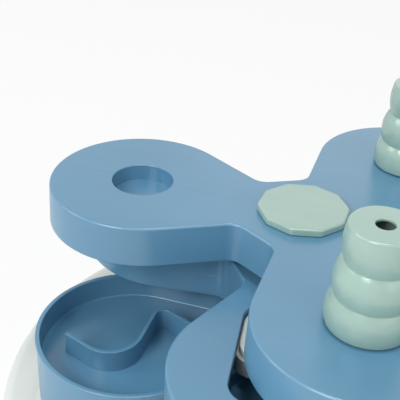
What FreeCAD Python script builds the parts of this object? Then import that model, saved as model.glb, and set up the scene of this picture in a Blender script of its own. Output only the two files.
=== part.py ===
import FreeCAD, Part
import math
import os
from FreeCAD import Vector

# Treat puzzle for dogs: a round base with a fixed three-lobed tray, and two
# three-lobed levels that turn above it on one post. The middle level has a
# round treat cup and a sliding lid in each lobe, the top level has a round
# pocket in each lobe, and two cones stand in two of the pockets.
# Millimetres, Z up, origin on the table under the middle of the post.

# outline shared by the tray, the middle level and the top level
lobe_reach = 70.0
lobe_radius = 39.8
flank_angle = 30.0
notch_flat = 27.5
notch_bend = 6.9

# how far each level is turned, counted from +X to its first lobe
tray_turn = 90.0
middle_turn = 36.2
top_turn = 178.4
cap_turn = 194.4

# base
foot_proud = 1.5
base_radius = 126.0
base_edge_height = 10.5
base_edge_round = 5.5
base_wall = 2.5
base_rib_count = 12
base_rib = 1.8
base_rib_rise = 1.5
base_skirt_draft = 1.5
base_ring_radius = 18.5
base_ring_wall = 2.0
pedestal_rib_reach = 60.0
pedestal_height = 11.0
pedestal_inset = 1.2
pedestal_wall = 2.5
pedestal_foot_round = 2.5
pedestal_top_round = 0.8
foot_radius = 7.0
foot_count = 6
foot_circle = 112.0
foot_seat_depth = 1.5
foot_round = 0.5
foot_boss_wall = 1.2
foot_plug_radius = 3.0
foot_plug_length = 3.3
foot_plug_room = 0.2

# tray
tray_height = 29.4
tray_depth = 11.2
tray_wall = 1.5
tray_floor = 2.2
tray_lip = 0.5
tray_lip_height = 2.2
tray_lip_round = 0.4
tray_hub_wall = 2.4
tray_hub_drop = 0.3
tray_rib = 1.6
tray_rib_drop = 1.2
tray_rib_round = 0.5
tray_rib_start = (97.0, -3.9)
tray_rib_outer = (76.7, 20.7)
tray_rib_inner = (55.0, -15.7)
tray_rib_end = (41.8, 2.5)
tray_rib_outer_bend = 13.0
tray_rib_inner_bend = 4.0

# middle level
tray_to_middle = 5.7
bowl_height = 10.8
cover_height = 12.0
level_wall = 2.0
level_roof = 2.2
deck_drop = 0.7
deck = 2.0
cup_radius = 18.8
cup_depth = 7.0
cup_wall = 1.8
bowl_rib = 1.6
bowl_rib_rise = 2.0
bowl_foot_round = 0.6
window_start = 35.0
window_end = 88.2
window_half = 16.5
window_corner = 8.6
window_lip = 1.6
window_lip_depth = 5.2
edge_round = 1.0

# sliding lids
lid_length = 28.0
lid_flange_back = 5.0
lid_flange_side = 1.3
lid_wall = 1.8
lid_top_drop = 2.1
lid_play = 0.35
lid_rise = 0.3
lid_lip_play = 0.4
lid_edge_round = 0.8
lid_dish_radius = 9.0
lid_dish_depth = 1.2
guide_wall = 1.5
guide_play = 0.5

# top level
middle_to_top = 5.0
top_height = 17.3
top_draft = 0.4
top_roof = 2.4
pocket_radius = 13.0
pocket_depth = 7.35
pocket_wall = 1.8
pocket_round = 0.6
top_rib = 1.6
top_rib_height = 11.0

# post, washers and cap
post_flange_radius = 15.0
post_flange_height = 8.0
post_radius = 10.0
post_top_radius = 7.0
post_stop = 0.2
post_pilot_floor = 1.0
running_clearance = 0.06
still_clearance = 0.15
hub_wall = 3.0
lower_washer_wall = 2.6
upper_washer_wall = 5.6
washer_gap = 0.1
washer_room = 1.2
cap_sides = 10
cap_radius = 18.9
cap_thickness = 3.1
cap_round = 0.8
cap_stem_radius = 4.0
cap_stem_length = 16.0
cap_stem_room = 0.5
cap_corner_round = 1.2

# cones
cone_height = 38.9
cone_lift = 0.5
cone_foot = 14.6
cone_belly = (15.25, 13.95, 12.45)
cone_belly_share = (0.4, 0.45, 0.48)
cone_neck = (13.25, 11.65, 11.8)
cone_step = (12.3, 25.4)
cone_crease = 0.25
cone_wall = 1.9
cone_taper = 1.2
cone_roof = 2.2
cone_groove = 1.2
cone_hole_radius = 3.3
cone_top_round = 1.0
spigot_play = 1.3
spigot_seat = 0.3

# screws
screw_radius = 1.4
screw_head_radius = 2.8
screw_head_height = 1.8
screw_hole_play = 0.15
screw_pilot_play = 0.02
screw_land = 1.0
screw_head_play = 0.3
boss_radius = 3.4
tray_screw_length = 9.0
post_screw_length = 8.5
post_screw_circle = 12.0
middle_screw_length = 10.0
middle_screw_side = 29.0
axle_screw_radius = 2.0
axle_screw_head = 4.0
axle_screw_head_height = 2.6
axle_screw_into_stem = 11.0
axle_washer_radius = 5.5
axle_washer_thickness = 1.0

# pieces that are fused reach this far into each other
overlap = 0.5

# heights that follow from the sizes above
base_bottom = foot_proud
foot_seat = base_bottom + foot_seat_depth
plate_top = base_bottom + base_edge_height
pedestal_top = plate_top + pedestal_height
tray_rim = pedestal_top + tray_height
tray_floor_top = tray_rim - tray_depth
middle_bottom = tray_rim + tray_to_middle
seam = middle_bottom + bowl_height
deck_top = seam - deck_drop
deck_under = deck_top - deck
screw_seat = deck_under - screw_land
boss_foot = screw_seat - screw_head_height - screw_head_play
cover_top = seam + cover_height
top_bottom = cover_top + middle_to_top
top_face = top_bottom + top_height
post_top = top_face + post_stop
hub_seat = tray_rim - tray_hub_drop
bowl_foot = hub_seat + washer_room
top_foot = cover_top + washer_room

pilot_radius = screw_radius + screw_pilot_play
journal = post_radius + running_clearance
top_journal = post_top_radius + running_clearance
origin = Vector(0, 0, 0)
up = Vector(0, 0, 1)


def turned(shape, degrees):
    shape = shape.copy()
    shape.rotate(origin, up, degrees)
    return shape


def three_of(shape, first_turn):
    return [turned(shape, first_turn + 120.0 * k) for k in range(3)]


def cylinder(radius, bottom, top, x=0.0, y=0.0):
    return Part.makeCylinder(radius, top - bottom, Vector(x, y, bottom))


def ring(outer, inner, bottom, top, x=0.0, y=0.0):
    return cylinder(outer, bottom, top, x, y).cut(cylinder(inner, bottom - 1, top + 1, x, y))


def block(x0, x1, y0, y1, z0, z1):
    return Part.makeBox(x1 - x0, y1 - y0, z1 - z0, Vector(x0, y0, z0))


def fuse(shapes):
    return shapes[0].fuse(shapes[1:]).removeSplitter()


# Three-lobed outline. Each lobe is an arc that runs over into two straight
# flanks, and each notch ends in a flat with a rounded corner at either side.
def clover(inset, z):
    radius = lobe_radius - inset
    flat = notch_flat - inset
    bend = notch_bend + inset
    side = math.radians(90.0 + flank_angle)
    touch = (lobe_reach + radius * math.cos(side), radius * math.sin(side))
    slope = math.radians(flank_angle)
    out = (math.cos(slope), math.sin(slope))
    across = (math.cos(math.radians(60.0)), math.sin(math.radians(60.0)))
    along = (-across[1], across[0])
    reach = touch[0] * across[0] + touch[1] * across[1]
    run = (reach - flat) / (out[0] * across[0] + out[1] * across[1])
    corner = (touch[0] - run * out[0], touch[1] - run * out[1])
    opening = math.acos(out[0] * along[0] + out[1] * along[1])
    length = bend / math.tan(opening / 2)
    middle = (out[0] + along[0], out[1] + along[1])
    size = math.hypot(*middle)
    middle = (middle[0] / size, middle[1] / size)
    depth = bend / math.sin(opening / 2) - bend
    flank_end = (corner[0] + length * out[0], corner[1] + length * out[1])
    bend_middle = (corner[0] + depth * middle[0], corner[1] + depth * middle[1])
    flat_end = (corner[0] + length * along[0], corner[1] + length * along[1])

    def spot(point, lobe, flip):
        x, y = point
        if flip:
            twice = 2 * (x * across[0] + y * across[1])
            x, y = twice * across[0] - x, twice * across[1] - y
        angle = math.radians(120.0 * lobe)
        return Vector(x * math.cos(angle) - y * math.sin(angle),
                      x * math.sin(angle) + y * math.cos(angle), z)

    edges = []
    for lobe in range(3):
        start = spot((touch[0], -touch[1]), lobe, False)
        tip = spot((lobe_reach + radius, 0.0), lobe, False)
        end = spot(touch, lobe, False)
        edges.append(Part.Arc(start, tip, end).toShape())
        edges.append(Part.makeLine(end, spot(flank_end, lobe, False)))
        edges.append(Part.Arc(spot(flank_end, lobe, False), spot(bend_middle, lobe, False),
                              spot(flat_end, lobe, False)).toShape())
        edges.append(Part.makeLine(spot(flat_end, lobe, False), spot(flat_end, lobe, True)))
        edges.append(Part.Arc(spot(flat_end, lobe, True), spot(bend_middle, lobe, True),
                              spot(flank_end, lobe, True)).toShape())
        edges.append(Part.makeLine(spot(flank_end, lobe, True), spot(touch, lobe, True)))
    return Part.Wire(edges)


def clover_solid(inset, bottom, top):
    return Part.Face(clover(inset, bottom)).extrude(Vector(0, 0, top - bottom))


# The same outline drawn out from one inset at the bottom to another on top.
def clover_loft(low_inset, bottom, high_inset, top, turn=0.0):
    low = turned(clover(low_inset, bottom), turn)
    high = turned(clover(high_inset, top), turn)
    return Part.makeLoft([low, high], True, True)


# Rectangle along +X with rounded corners.
def pad(x0, x1, half, corner, bottom, top):
    c = corner * (1 - math.sqrt(0.5))
    edges = []
    points = [
        (x1 - corner, -half), (x1 - c, -half + c), (x1, -half + corner),
        (x1, half - corner), (x1 - c, half - c), (x1 - corner, half),
        (x0 + corner, half), (x0 + c, half - c), (x0, half - corner),
        (x0, -half + corner), (x0 + c, -half + c), (x0 + corner, -half),
    ]
    spots = [Vector(x, y, bottom) for x, y in points]
    for k in range(0, 12, 3):
        edges.append(Part.Arc(spots[k], spots[k + 1], spots[k + 2]).toShape())
        edges.append(Part.makeLine(spots[k + 2], spots[(k + 3) % 12]))
    return Part.Face(Part.Wire(edges)).extrude(Vector(0, 0, top - bottom))


# Standing wall of even thickness that follows a path with rounded bends and
# has round ends.
def wall_on_path(points, bends, thickness, bottom, top):
    points = [Vector(x, y, bottom) for x, y in points]
    half = thickness / 2

    def side(shift):
        spots = []
        first = (points[1] - points[0]).normalize()
        spots.append(("line", points[0] + Vector(-first.y, first.x, 0) * shift))
        for k in range(1, len(points) - 1):
            before = (points[k] - points[k - 1]).normalize()
            after = (points[k + 1] - points[k]).normalize()
            left = Vector(-before.y, before.x, 0)
            left_after = Vector(-after.y, after.x, 0)
            way = 1.0 if before.cross(after).z > 0 else -1.0
            length = bends[k - 1] * math.tan(before.getAngle(after) / 2)
            centre = points[k] - before * length + left * way * bends[k - 1]
            outward = (points[k] - centre).normalize()
            spots.append(("line", points[k] - before * length + left * shift))
            spots.append(("bend", centre + outward * (bends[k - 1] - way * shift)))
            spots.append(("line", points[k] + after * length + left_after * shift))
        last = (points[-1] - points[-2]).normalize()
        spots.append(("line", points[-1] + Vector(-last.y, last.x, 0) * shift))
        return spots

    last = (points[-1] - points[-2]).normalize()
    first = (points[1] - points[0]).normalize()
    loop = side(half)
    loop.append(("bend", points[-1] + last * half))
    loop.extend(reversed(side(-half)))
    loop.append(("bend", points[0] - first * half))
    edges = []
    count = len(loop)
    for k in range(count):
        kind, here = loop[k]
        if kind == "bend":
            edges.append(Part.Arc(loop[k - 1][1], here, loop[(k + 1) % count][1]).toShape())
        elif loop[(k + 1) % count][0] == "line":
            edges.append(Part.makeLine(here, loop[(k + 1) % count][1]))
    return Part.Face(Part.Wire(edges)).extrude(Vector(0, 0, top - bottom))


def spun(edges):
    return Part.Face(Part.Wire(edges)).revolve(origin, up, 360.0)


def screw(length, seat, x, y, radius=screw_radius, head=screw_head_radius, head_height=screw_head_height):
    shank = cylinder(radius, seat, seat + length, x, y)
    return cylinder(head, seat - head_height, seat, x, y).fuse(shank).removeSplitter()


def outer_edges(shape, z):
    found = []
    for edge in shape.Edges:
        box = edge.BoundBox
        if abs(box.ZMin - z) < 1e-4 and abs(box.ZMax - z) < 1e-4:
            found.append(edge)
    return found


def lobe_spot(distance, side, turn):
    angle = math.radians(turn)
    return (distance * math.cos(angle) - side * math.sin(angle),
            distance * math.sin(angle) + side * math.cos(angle))


# Base: a low round dish turned upside down, with a hollow three-lobed
# pedestal on it. Ribs and foot pads stand under the plate.
def make_base():
    inner_radius = base_radius - base_wall
    roof = plate_top - base_wall
    shoulder = base_radius - base_edge_round
    c = base_edge_round * (1 - math.sqrt(0.5))
    skirt = plate_top - base_edge_round
    skirt_foot = base_radius - base_skirt_draft
    profile = [
        Part.makeLine(Vector(0, 0, base_bottom), Vector(skirt_foot, 0, base_bottom)),
        Part.makeLine(Vector(skirt_foot, 0, base_bottom), Vector(base_radius, 0, skirt)),
        Part.Arc(Vector(base_radius, 0, skirt), Vector(base_radius - c, 0, plate_top - c),
                 Vector(shoulder, 0, plate_top)).toShape(),
        Part.makeLine(Vector(shoulder, 0, plate_top), Vector(0, 0, plate_top)),
        Part.makeLine(Vector(0, 0, plate_top), Vector(0, 0, base_bottom)),
    ]
    dish = spun(profile)
    pedestal = clover_loft(0.0, plate_top - overlap, pedestal_inset, pedestal_top, tray_turn)
    body = dish.fuse(pedestal).removeSplitter()
    foot_line = []
    for edge in outer_edges(body, plate_top):
        if max(math.hypot(v.X, v.Y) for v in edge.Vertexes) < shoulder - overlap:
            foot_line.append(edge)
    body = body.makeFillet(pedestal_foot_round, foot_line)
    body = body.makeFillet(pedestal_top_round, outer_edges(body, pedestal_top))
    roof_under = pedestal_top - pedestal_wall
    hollow = cylinder(inner_radius, base_bottom - 1, skirt - overlap)
    hollow = hollow.fuse(cylinder(shoulder - base_wall, base_bottom - 1, roof))
    inner_foot = pedestal_wall
    inner_top = pedestal_inset + pedestal_wall
    hollow = hollow.fuse(clover_loft(inner_foot, base_bottom - 1, inner_top, roof_under, tray_turn))
    body = body.cut(hollow)
    rib_foot = base_bottom + base_rib_rise
    half = base_rib / 2
    ribs = []
    for k in range(base_rib_count):
        rib = block(base_ring_radius, inner_radius + overlap, -half, half, rib_foot, roof + overlap)
        ribs.append(turned(rib, 360.0 / base_rib_count * (k + 0.5)))
    ring_outer = base_ring_radius + base_ring_wall / 2
    ring_inner = base_ring_radius - base_ring_wall / 2
    ribs.append(ring(ring_outer, ring_inner, rib_foot, roof_under + overlap))
    for k in range(6):
        rib = block(base_ring_radius, pedestal_rib_reach, -half, half, roof - overlap, roof_under + overlap)
        ribs.append(turned(rib, 60.0 * k + 30.0))
    for k in range(foot_count):
        x, y = lobe_spot(foot_circle, 0.0, 360.0 / foot_count * k)
        ribs.append(cylinder(foot_radius + foot_boss_wall, base_bottom, roof + overlap, x, y))
    solid_inside = dish.fuse(pedestal)
    kept = [rib.common(solid_inside) for rib in ribs]
    body = fuse([body] + kept)
    for k in range(foot_count):
        x, y = lobe_spot(foot_circle, 0.0, 360.0 / foot_count * k)
        seat = cylinder(foot_radius + still_clearance, base_bottom - 1, foot_seat, x, y)
        socket_top = foot_seat + foot_plug_length + foot_plug_room
        socket = cylinder(foot_plug_radius + still_clearance, base_bottom, socket_top, x, y)
        body = body.cut(seat.fuse(socket))
    holes = [cylinder(axle_screw_radius + screw_hole_play, roof_under - 1, pedestal_top + 1)]
    for k in range(3):
        x, y = lobe_spot(lobe_reach, 0.0, tray_turn + 120.0 * k)
        holes.append(cylinder(screw_radius + screw_hole_play, roof_under - 1, pedestal_top + 1, x, y))
        x, y = lobe_spot(post_screw_circle, 0.0, tray_turn + 60.0 + 120.0 * k)
        holes.append(cylinder(screw_radius + screw_hole_play, roof_under - 1, pedestal_top + 1, x, y))
    for hole in holes:
        body = body.cut(hole)
    return body


def make_feet():
    feet = []
    for k in range(foot_count):
        x, y = lobe_spot(foot_circle, 0.0, 360.0 / foot_count * k)
        disc = cylinder(foot_radius, 0.0, foot_seat, x, y)
        disc = disc.makeFillet(foot_round, outer_edges(disc, 0.0))
        plug = cylinder(foot_plug_radius, foot_seat - overlap, foot_seat + foot_plug_length, x, y)
        feet.append(disc.fuse(plug).removeSplitter())
    return Part.makeCompound(feet)


# Tray: an open three-lobed dish with a small outer lip, a hub that hides the
# foot of the post, and an S-shaped rib standing in each lobe.
def make_tray():
    body = clover_solid(tray_lip, pedestal_top, tray_rim - overlap)
    lip = clover_solid(0.0, tray_rim - tray_lip_height, tray_rim)
    body = body.fuse(lip).removeSplitter()
    body = body.makeFillet(tray_lip_round, outer_edges(body, tray_rim))
    body = body.cut(clover_solid(tray_lip + tray_wall, tray_floor_top, tray_rim + 1))
    under = clover_solid(tray_lip + tray_wall, pedestal_top - 1, tray_floor_top - tray_floor)
    body = body.cut(under)
    rib = wall_on_path(
        [tray_rib_start, tray_rib_outer, tray_rib_inner, tray_rib_end],
        [tray_rib_outer_bend, tray_rib_inner_bend],
        tray_rib, tray_floor_top - overlap, tray_rim - tray_rib_drop)
    rib = rib.makeFillet(tray_rib_round, outer_edges(rib, tray_rim - tray_rib_drop))
    boss = cylinder(boss_radius, pedestal_top, tray_floor_top - overlap, lobe_reach, 0.0)
    body = fuse([body] + three_of(rib, 0.0) + three_of(boss, 0.0))
    hub_inner = post_flange_radius + still_clearance
    hub_outer = hub_inner + tray_hub_wall
    body = body.fuse(cylinder(hub_outer, pedestal_top, hub_seat)).removeSplitter()
    body = body.cut(cylinder(hub_inner, pedestal_top - 1, hub_seat - tray_hub_wall))
    body = body.cut(cylinder(post_radius + still_clearance, hub_seat - tray_hub_wall - 1, hub_seat + 1))
    pilot = cylinder(pilot_radius, pedestal_top - 1, tray_floor_top - tray_floor, lobe_reach, 0.0)
    for hole in three_of(pilot, 0.0):
        body = body.cut(hole)
    return turned(body, tray_turn)


def make_tray_screws():
    seat = pedestal_top - pedestal_wall
    return Part.makeCompound([
        screw(tray_screw_length, seat, *lobe_spot(lobe_reach, 0.0, tray_turn + 120.0 * k))
        for k in range(3)])


# Post: a flange that is screwed down on the pedestal, a thick journal for the
# middle level and a thinner one for the top level.
def make_post():
    flange_top = pedestal_top + post_flange_height
    shoulder = cover_top + washer_gap
    body = cylinder(post_flange_radius, pedestal_top, flange_top)
    body = body.fuse(cylinder(post_radius, flange_top, shoulder))
    body = body.fuse(cylinder(post_top_radius, shoulder, post_top)).removeSplitter()
    body = body.cut(cylinder(axle_screw_radius + screw_hole_play, pedestal_top - 1, post_top + 1))
    socket_floor = post_top - cap_stem_length - cap_stem_room
    body = body.cut(cylinder(cap_stem_radius + still_clearance, socket_floor, post_top + 1))
    for k in range(3):
        x, y = lobe_spot(post_screw_circle, 0.0, tray_turn + 60.0 + 120.0 * k)
        pilot = cylinder(pilot_radius, pedestal_top - 1, flange_top - post_pilot_floor, x, y)
        body = body.cut(pilot)
    return body


def make_post_screws():
    seat = pedestal_top - pedestal_wall
    return Part.makeCompound([
        screw(post_screw_length, seat, *lobe_spot(post_screw_circle, 0.0, tray_turn + 60.0 + 120.0 * k))
        for k in range(3)])


def make_axle_screw():
    seat = pedestal_top - pedestal_wall - axle_washer_thickness
    tip = post_top - cap_stem_length + axle_screw_into_stem
    return screw(tip - seat, seat, 0.0, 0.0, axle_screw_radius, axle_screw_head, axle_screw_head_height)


def make_axle_washer():
    top = pedestal_top - pedestal_wall
    return ring(axle_washer_radius, axle_screw_radius + screw_hole_play, top - axle_washer_thickness, top)


def make_lower_washer():
    bore = post_radius + still_clearance
    return ring(bore + lower_washer_wall, bore, hub_seat + washer_gap, bowl_foot - washer_gap)


def make_upper_washer():
    bore = post_top_radius + still_clearance
    return ring(bore + upper_washer_wall, bore, cover_top + 2 * washer_gap, top_foot - washer_gap)


# Lower half of the middle level: a deck with a round treat cup in each lobe,
# carried by the outer wall and the hub.
def make_bowl():
    body = clover_solid(0.0, middle_bottom, seam)
    body = body.makeFillet(bowl_foot_round, outer_edges(body, middle_bottom))
    body = body.cut(clover_solid(level_wall, deck_top, seam + 1))
    body = body.cut(clover_solid(level_wall, middle_bottom - 1, deck_under))
    cup_floor = deck_top - cup_depth
    cup_outer = cup_radius + cup_wall
    cup_shell = cylinder(cup_outer, cup_floor - deck, deck_top, lobe_reach, 0.0)
    boss = cylinder(boss_radius, boss_foot, deck_top, lobe_reach, middle_screw_side)
    boss_other = cylinder(boss_radius, boss_foot, deck_top, lobe_reach, -middle_screw_side)
    hub_outer = journal + hub_wall
    hub = cylinder(hub_outer, bowl_foot, deck_top)
    body = fuse([body, hub] + three_of(cup_shell, 0.0) + three_of(boss, 0.0) + three_of(boss_other, 0.0))
    cup = cylinder(cup_radius, cup_floor, seam + 1, lobe_reach, 0.0)
    for hollow in three_of(cup, 0.0):
        body = body.cut(hollow)
    rib = block(hub_outer - overlap, lobe_reach - cup_outer + overlap, -bowl_rib / 2, bowl_rib / 2,
                middle_bottom + bowl_rib_rise, deck_under + overlap)
    body = fuse([body] + three_of(rib, 0.0))
    body = body.cut(cylinder(journal, bowl_foot - 1, seam + 1))
    for side in (middle_screw_side, -middle_screw_side):
        hole = cylinder(screw_radius + screw_hole_play, middle_bottom, seam, lobe_reach, side)
        seat = cylinder(screw_head_radius + screw_head_play, middle_bottom - 1, screw_seat, lobe_reach, side)
        for cutter in three_of(hole, 0.0) + three_of(seat, 0.0):
            body = body.cut(cutter)
    return turned(body, middle_turn)


# Cover of the middle level: a hollow lid with a long window in each lobe. The
# window's edge turns down into a lip, and a guide wall under the roof leads
# the sliding lid.
def make_cover():
    body = clover_solid(0.0, seam, cover_top)
    body = body.makeFillet(edge_round, outer_edges(body, cover_top))
    inside = clover_solid(level_wall, seam - 1, cover_top - level_roof)
    body = body.cut(inside)
    lip_foot = cover_top - window_lip_depth
    roof_middle = cover_top - level_roof / 2
    foot = deck_top + washer_gap
    lip = pad(window_start - window_lip, window_end + window_lip, window_half + window_lip,
              window_corner + window_lip, lip_foot, roof_middle)
    flange_half = window_half + lid_flange_side
    back = window_start - lid_flange_back
    guide_outer = pad(back - guide_play - guide_wall, window_end + guide_play + guide_wall,
                      flange_half + guide_play + guide_wall, window_corner + guide_wall,
                      foot, roof_middle)
    guide_inner = pad(back - guide_play, window_end + guide_play, flange_half + guide_play,
                      window_corner, deck_top - 1, lip_foot)
    hub = cylinder(journal + hub_wall, foot, roof_middle)
    boss = cylinder(boss_radius, foot, roof_middle, lobe_reach, middle_screw_side)
    boss_other = cylinder(boss_radius, foot, roof_middle, lobe_reach, -middle_screw_side)
    inner_side = clover_solid(level_wall + washer_gap, deck_top, seam)
    outer_side = clover_solid(level_wall / 2, seam, cover_top)
    room = inner_side.fuse(outer_side)
    added = [hub.common(room)]
    for part in (guide_outer, boss, boss_other):
        added.extend(shape.common(room) for shape in three_of(part, 0.0))
    body = fuse([body] + added)
    for hollow in three_of(guide_inner, 0.0):
        body = body.cut(hollow)
    body = fuse([body] + three_of(lip, 0.0))
    window = pad(window_start, window_end, window_half, window_corner, seam, cover_top + 1)
    for hollow in three_of(window, 0.0):
        body = body.cut(hollow)
    body = body.cut(cylinder(journal, deck_top - 1, cover_top + 1))
    for side in (middle_screw_side, -middle_screw_side):
        pilot = cylinder(pilot_radius, deck_top - 1, cover_top - level_roof, lobe_reach, side)
        for cutter in three_of(pilot, 0.0):
            body = body.cut(cutter)
    return turned(body, middle_turn)


def make_middle_screws():
    screws = []
    for k in range(3):
        for side in (middle_screw_side, -middle_screw_side):
            spot = lobe_spot(lobe_reach, side, middle_turn + 120.0 * k)
            screws.append(screw(middle_screw_length, screw_seat, *spot))
    return Part.makeCompound(screws)


# Sliding lid: a raised pad that fills half of the window, on a hollow flange
# that runs between the deck and the window's lip.
def make_lid(lobe):
    start = window_start + lid_play
    end = start + lid_length
    bottom = deck_top + lid_rise
    step = cover_top - window_lip_depth - lid_lip_play
    half = window_half - lid_play
    top = cover_top - lid_top_drop
    flange_half = window_half + lid_flange_side
    back = window_start - lid_flange_back
    corner = window_corner - lid_play
    flange = pad(back, end, flange_half, corner, bottom, step)
    raised = pad(start, end, half, corner, step - overlap, top)
    raised = raised.makeFillet(lid_edge_round, outer_edges(raised, top))
    body = flange.fuse(raised).removeSplitter()
    hollow = pad(back + lid_wall, end - lid_wall, flange_half - lid_wall, corner - lid_wall,
                 bottom - 1, step - lid_wall)
    body = body.cut(hollow)
    ball_radius = (lid_dish_radius ** 2 + lid_dish_depth ** 2) / (2 * lid_dish_depth)
    ball = Part.makeSphere(ball_radius, Vector((start + end) / 2, 0, top + ball_radius - lid_dish_depth))
    body = body.cut(ball)
    return turned(body, middle_turn + 120.0 * lobe)


# Top level: a deep hollow plate with a round pocket in each lobe. Its side
# leans out a little towards the bottom, and its hub reaches down to a washer.
def make_top():
    roof_under = top_face - top_roof
    rib_foot = top_face - top_rib_height
    rib_top = roof_under + overlap
    body = clover_loft(0.0, top_bottom, top_draft, top_face)
    body = body.makeFillet(edge_round, outer_edges(body, top_face))
    body = body.cut(clover_loft(level_wall, top_bottom - 1, level_wall + top_draft, roof_under))
    pocket_floor = top_face - pocket_depth
    shell = cylinder(pocket_radius + pocket_wall, pocket_floor - top_roof, rib_top, lobe_reach, 0.0)
    hub_outer = top_journal + hub_wall
    hub = cylinder(hub_outer, top_foot, rib_top)
    half = top_rib / 2
    far = lobe_radius - top_draft - level_wall / 2
    rib = block(hub_outer - overlap, lobe_reach + far, -half, half, rib_foot, rib_top)
    cross = block(lobe_reach - half, lobe_reach + half, -far, far, rib_foot, rib_top)
    body = fuse([body, hub] + three_of(shell, 0.0) + three_of(rib, 0.0) + three_of(cross, 0.0))
    pocket = cylinder(pocket_radius, pocket_floor, top_face + 1, lobe_reach, 0.0)
    for hollow in three_of(pocket, 0.0):
        body = body.cut(hollow)
    rims = []
    for edge in outer_edges(body, top_face):
        if isinstance(edge.Curve, Part.Circle) and abs(edge.Curve.Radius - pocket_radius) < 1e-6:
            rims.append(edge)
    body = body.makeFillet(pocket_round, rims)
    body = body.cut(cylinder(top_journal, top_foot - 1, top_face + 1))
    return turned(body, top_turn)


def make_cap():
    corners = []
    for k in range(cap_sides + 1):
        angle = math.radians(cap_turn + 360.0 / cap_sides * k)
        corners.append(Vector(cap_radius * math.cos(angle), cap_radius * math.sin(angle), post_top))
    plate = Part.Face(Part.makePolygon(corners)).extrude(Vector(0, 0, cap_thickness))
    upright = [edge for edge in plate.Edges if edge.BoundBox.ZLength > cap_thickness / 2]
    plate = plate.makeFillet(cap_corner_round, upright)
    plate = plate.makeFillet(cap_round, outer_edges(plate, post_top + cap_thickness))
    stem_foot = post_top - cap_stem_length
    stem = cylinder(cap_stem_radius, stem_foot, post_top + overlap)
    body = plate.fuse(stem).removeSplitter()
    pilot_top = stem_foot + axle_screw_into_stem + cap_stem_room
    return body.cut(cylinder(axle_screw_radius + screw_pilot_play, stem_foot - 1, pilot_top))


# Cone: three swelling steps, each smaller than the one below, on a tube that
# stands loosely in a pocket. It is hollow and has a hole through its top.
def make_cone():
    spigot_radius = pocket_radius - spigot_play
    spigot_bottom = spigot_seat - pocket_depth
    tube_top = cone_lift + cone_groove
    inner = spigot_radius - cone_wall
    steps = (cone_lift,) + cone_step + (cone_height - cone_top_round,)
    edges = []
    here = Vector(cone_foot, 0, cone_lift)
    for k in range(3):
        rise = steps[k + 1] - steps[k]
        belly = Vector(cone_belly[k], 0, steps[k] + rise * cone_belly_share[k])
        neck = Vector(cone_neck[k], 0, steps[k + 1])
        edges.append(Part.Arc(here, belly, neck).toShape())
        here = neck
        if k < 2:
            here = Vector(neck.x - cone_crease, 0, neck.z + cone_crease / 2)
            edges.append(Part.makeLine(neck, here))
    c = cone_top_round * (1 - math.sqrt(0.5))
    rim = Vector(here.x - cone_top_round, 0, cone_height)
    edges.append(Part.Arc(here, Vector(here.x - c, 0, cone_height - c), rim).toShape())
    corners = [
        rim,
        Vector(0, 0, cone_height),
        Vector(0, 0, spigot_bottom),
        Vector(spigot_radius, 0, spigot_bottom),
        Vector(spigot_radius, 0, tube_top),
        Vector(cone_foot - cone_groove, 0, tube_top),
        Vector(cone_foot, 0, cone_lift),
    ]
    for k in range(len(corners) - 1):
        edges.append(Part.makeLine(corners[k], corners[k + 1]))
    body = spun(edges)
    roof = cone_height - cone_roof
    foot = Vector(0, 0, spigot_bottom - 1)
    body = body.cut(Part.makeCone(inner, inner - cone_taper, roof - foot.z, foot))
    return body.cut(cylinder(cone_hole_radius, roof - 1, cone_height + 1))


def place_cone(pocket):
    body = make_cone()
    x, y = lobe_spot(lobe_reach, 0.0, top_turn + 120.0 * pocket)
    body.translate(Vector(x, y, top_face))
    return body


pieces = {
    "base": make_base(),
    "rubber_feet": make_feet(),
    "tray": make_tray(),
    "tray_screws": make_tray_screws(),
    "post": make_post(),
    "post_screws": make_post_screws(),
    "axle_screw": make_axle_screw(),
    "axle_washer": make_axle_washer(),
    "lower_washer": make_lower_washer(),
    "upper_washer": make_upper_washer(),
    "middle_bowl": make_bowl(),
    "middle_cover": make_cover(),
    "middle_screws": make_middle_screws(),
    "lid_1": make_lid(0),
    "lid_2": make_lid(1),
    "lid_3": make_lid(2),
    "top_plate": make_top(),
    "hub_cap": make_cap(),
    "near_cone": place_cone(1),
    "far_cone": place_cone(2),
}

os.makedirs("parts", exist_ok=True)
for name, shape in pieces.items():
    shape.exportStep("parts/" + name + ".step")
    box = shape.BoundBox
    print(name, len(shape.Solids), shape.isValid(), round(shape.Volume / 1000, 2), "cm3",
          [round(v, 2) for v in (box.XMin, box.XMax, box.YMin, box.YMax, box.ZMin, box.ZMax)])
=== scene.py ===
import math

import bmesh
import bpy
from mathutils import Matrix, Vector
from mathutils.kdtree import KDTree


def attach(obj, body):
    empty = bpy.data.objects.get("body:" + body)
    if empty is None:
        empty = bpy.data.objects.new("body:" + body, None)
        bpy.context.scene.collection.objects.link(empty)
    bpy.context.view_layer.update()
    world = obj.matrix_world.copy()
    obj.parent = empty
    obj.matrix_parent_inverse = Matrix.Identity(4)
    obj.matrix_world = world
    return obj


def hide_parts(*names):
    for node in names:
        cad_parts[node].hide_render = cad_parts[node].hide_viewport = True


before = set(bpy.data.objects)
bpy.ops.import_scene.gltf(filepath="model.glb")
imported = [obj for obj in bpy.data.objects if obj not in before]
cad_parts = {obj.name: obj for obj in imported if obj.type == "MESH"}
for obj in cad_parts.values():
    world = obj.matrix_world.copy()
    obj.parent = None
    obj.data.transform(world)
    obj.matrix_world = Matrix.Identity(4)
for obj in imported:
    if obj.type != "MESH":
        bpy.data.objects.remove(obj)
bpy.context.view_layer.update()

print("frame loaded,", len(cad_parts), "nodes")
mm = 0.001

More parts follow.
